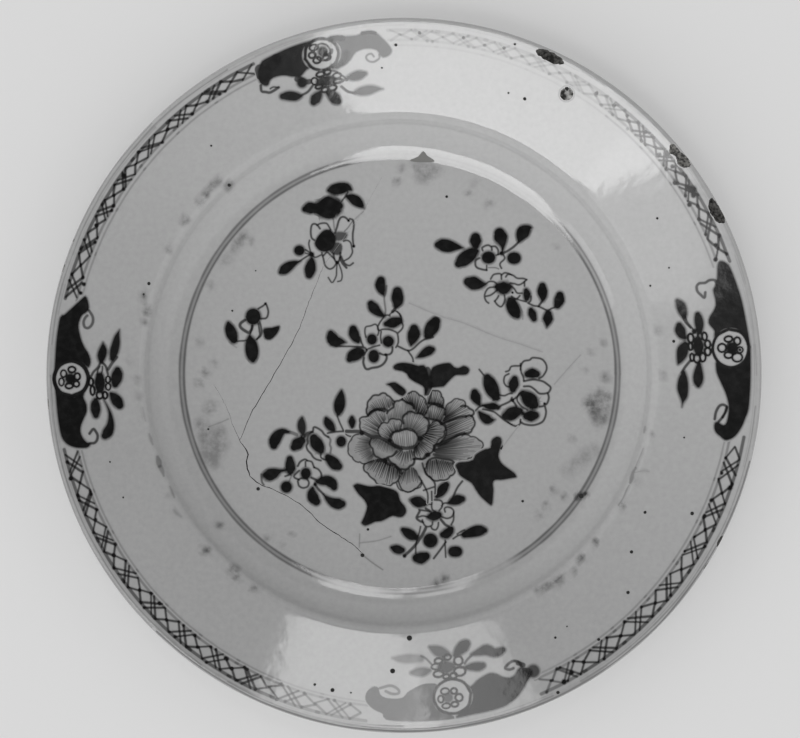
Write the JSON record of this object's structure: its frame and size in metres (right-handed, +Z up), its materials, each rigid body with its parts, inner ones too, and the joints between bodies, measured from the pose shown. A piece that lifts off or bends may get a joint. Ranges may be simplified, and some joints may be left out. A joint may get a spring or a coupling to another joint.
{
  "type": "cracked dinner plate",
  "caption": "Round porcelain dinner plate with a broad sloping rim and a foot ring, painted in dark under a glossy glaze, cracked in the well and chipped at the rim.",
  "frame": {"origin": "under the middle of the rim, on the surface that the foot ring stands on", "axes": "+Z up out of the well, +Y towards the top of the painting as it is read"},
  "size_m": [0.23, 0.23, 0.022],
  "materials": {
    "glazed_porcelain": "glossy clear glaze with fine pits and grime, over a pale body",
    "underglaze_painting": "brush painting under the same glossy glaze"
  },
  "bodies": {
    "root": {"porcelain_plate": "glazed_porcelain"}
  },
  "joints": []
}
